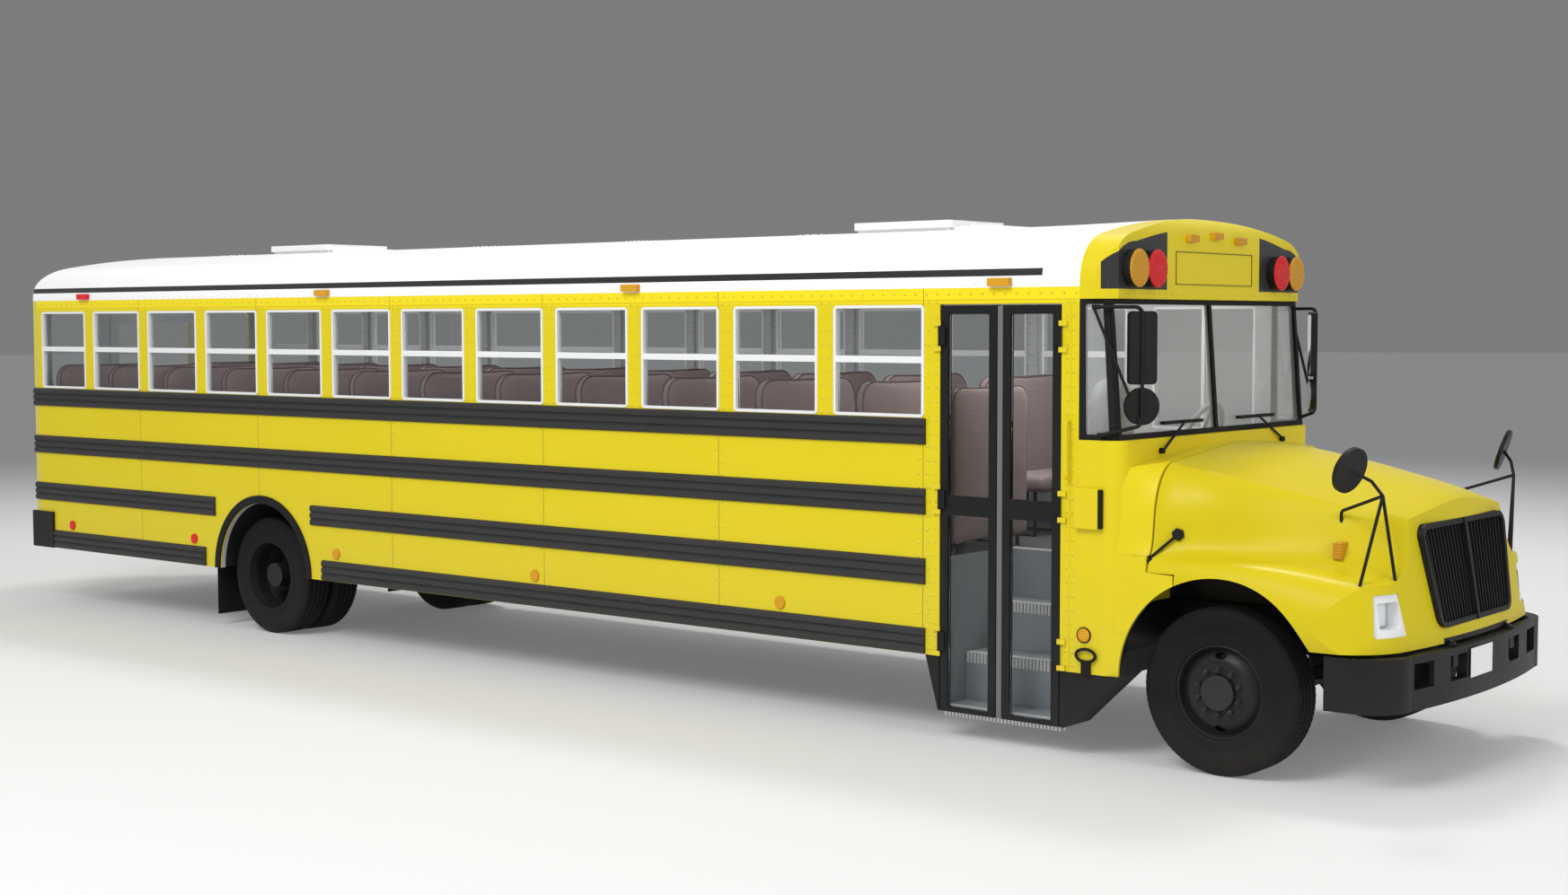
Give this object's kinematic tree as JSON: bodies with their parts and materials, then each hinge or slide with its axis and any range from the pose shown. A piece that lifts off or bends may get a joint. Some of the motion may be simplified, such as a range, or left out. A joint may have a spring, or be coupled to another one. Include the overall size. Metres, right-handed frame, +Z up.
{
  "type": "school bus",
  "caption": "Long yellow school bus with a sloping tilt hood, white roof, black rub rails, rows of framed windows, folding entrance door and rear exit door.",
  "frame": {"origin": "on the ground at the middle of the bus's length and width", "axes": "+X towards the front along the bus's length, +Y towards the driver's (left) side, +Z up"},
  "size_m": [12.785, 2.54, 3.1403],
  "materials": {
    "yellow_body": "semi-gloss",
    "white_roof": "semi-gloss",
    "floor_steel": "satin",
    "frame_white": "satin",
    "clear_glass": "clear",
    "black_paint": "satin",
    "black_rubber": "matt",
    "tyre": "matt",
    "engine_iron": "dull",
    "exhaust_steel": "dull",
    "seat_cover": "matt",
    "dash_plastic": "matt",
    "amber_lens": "gloss",
    "red_lens": "gloss",
    "lamp_housing": "gloss"
  },
  "bodies": {
    "body": {"side_wall_right": "yellow_body", "side_wall_left": "yellow_body", "roof": "white_roof", "front_cap": "yellow_body", "rear_wall": "yellow_body", "floor": "floor_steel", "wheel_wells": "floor_steel", "cowl": "yellow_body", "window_frames": "frame_white", "side_glass": "clear_glass", "windshield_frame": "black_rubber", "windshield_glass": "clear_glass", "stepwell": "floor_steel", "step_skirt": "black_paint", "rub_rails": "black_paint", "arch_trims": "black_rubber", "front_bumper": "black_paint", "rear_bumper": "black_paint", "frame_rails": "black_paint", "front_axle": "black_paint", "rear_axle": "black_paint", "engine": "engine_iron", "radiator": "engine_iron", "exhaust": "exhaust_steel", "fuel_tank": "black_paint", "passenger_seats": "seat_cover", "driver_seat": "seat_cover", "dashboard": "dash_plastic", "amber_lamps": "amber_lens", "red_lamps": "red_lens", "side_mirrors": "black_paint", "stop_arm_base": "black_paint", "hinges": "black_paint", "grab_rail": "yellow_body"},
    "hood": {"hood": "yellow_body", "grille": "black_paint", "headlamps": "lamp_housing", "hood_mirrors": "black_paint", "turn_signals": "amber_lens"},
    "knuckle_right": {"knuckle_right": "black_paint"},
    "knuckle_left": {"knuckle_left": "black_paint"},
    "front_wheel_right": {"tyre_front_right": "tyre", "wheel_front_right": "black_paint"},
    "front_wheel_left": {"tyre_front_left": "tyre", "wheel_front_left": "black_paint"},
    "rear_wheels_right": {"tyres_rear_right": "tyre", "wheels_rear_right": "black_paint"},
    "rear_wheels_left": {"tyres_rear_left": "tyre", "wheels_rear_left": "black_paint"},
    "front_leaf": {"door_front_leaf": "black_paint", "door_front_glass": "clear_glass", "door_seal": "black_rubber"},
    "rear_leaf": {"door_rear_leaf": "black_paint", "door_rear_glass": "clear_glass"},
    "exit_door": {"emergency_door": "yellow_body", "emergency_glass": "clear_glass"},
    "stop_arm": {"stop_arm": "red_lens"},
    "hatch_front": {"hatch_front": "white_roof"},
    "hatch_rear": {"hatch_rear": "white_roof"}
  },
  "joints": [
    {"name": "hood_tilt", "type": "hinge", "parent": "body", "child": "hood", "pos_m": [6.3375, 0, 0.738], "axis": [0, 1, 0], "range_deg": [0, 55]},
    {"name": "steer_right", "type": "hinge", "parent": "body", "child": "knuckle_right", "pos_m": [5.3255, -0.85, 0.465], "axis": [0, 0, 1], "range_deg": [-35, 35]},
    {"name": "steer_left", "type": "hinge", "parent": "body", "child": "knuckle_left", "pos_m": [5.3255, 0.85, 0.465], "axis": [0, 0, 1], "range_deg": [-35, 35]},
    {"name": "spin_front_right", "type": "hinge", "parent": "knuckle_right", "child": "front_wheel_right", "pos_m": [5.3255, -1.028, 0.465], "axis": [0, 1, 0], "continuous": true},
    {"name": "spin_front_left", "type": "hinge", "parent": "knuckle_left", "child": "front_wheel_left", "pos_m": [5.3255, 1.028, 0.465], "axis": [0, 1, 0], "continuous": true},
    {"name": "spin_rear_right", "type": "hinge", "parent": "body", "child": "rear_wheels_right", "pos_m": [-3.0585, -0.883, 0.465], "axis": [0, 1, 0], "continuous": true},
    {"name": "spin_rear_left", "type": "hinge", "parent": "body", "child": "rear_wheels_left", "pos_m": [-3.0585, 0.883, 0.465], "axis": [0, 1, 0], "continuous": true},
    {"name": "front_leaf_swing", "type": "hinge", "parent": "body", "child": "front_leaf", "pos_m": [4.3515, -1.231, 1.37], "axis": [0, 0, 1], "range_deg": [0, 88]},
    {"name": "rear_leaf_swing", "type": "hinge", "parent": "body", "child": "rear_leaf", "pos_m": [3.5205, -1.231, 1.37], "axis": [0, 0, -1], "range_deg": [0, 88]},
    {"name": "exit_swing", "type": "hinge", "parent": "body", "child": "exit_door", "pos_m": [-6.3505, -0.486, 1.816], "axis": [0, 0, 1], "range_deg": [0, 100]},
    {"name": "stop_arm_swing", "type": "hinge", "parent": "body", "child": "stop_arm", "pos_m": [3.5215, 1.254, 1.625], "axis": [0, 0, -1], "range_deg": [0, 90]},
    {"name": "hatch_front_lift", "type": "hinge", "parent": "body", "child": "hatch_front", "pos_m": [2.9805, 0, 3.1163], "axis": [0, 1, 0], "range_deg": [0, 60]},
    {"name": "hatch_rear_lift", "type": "hinge", "parent": "body", "child": "hatch_rear", "pos_m": [-3.2965, 0, 3.1163], "axis": [0, 1, 0], "range_deg": [0, 60]}
  ],
  "couplings": [
    {"joint": "steer_left", "follows": "steer_right", "ratio": 1}
  ]
}
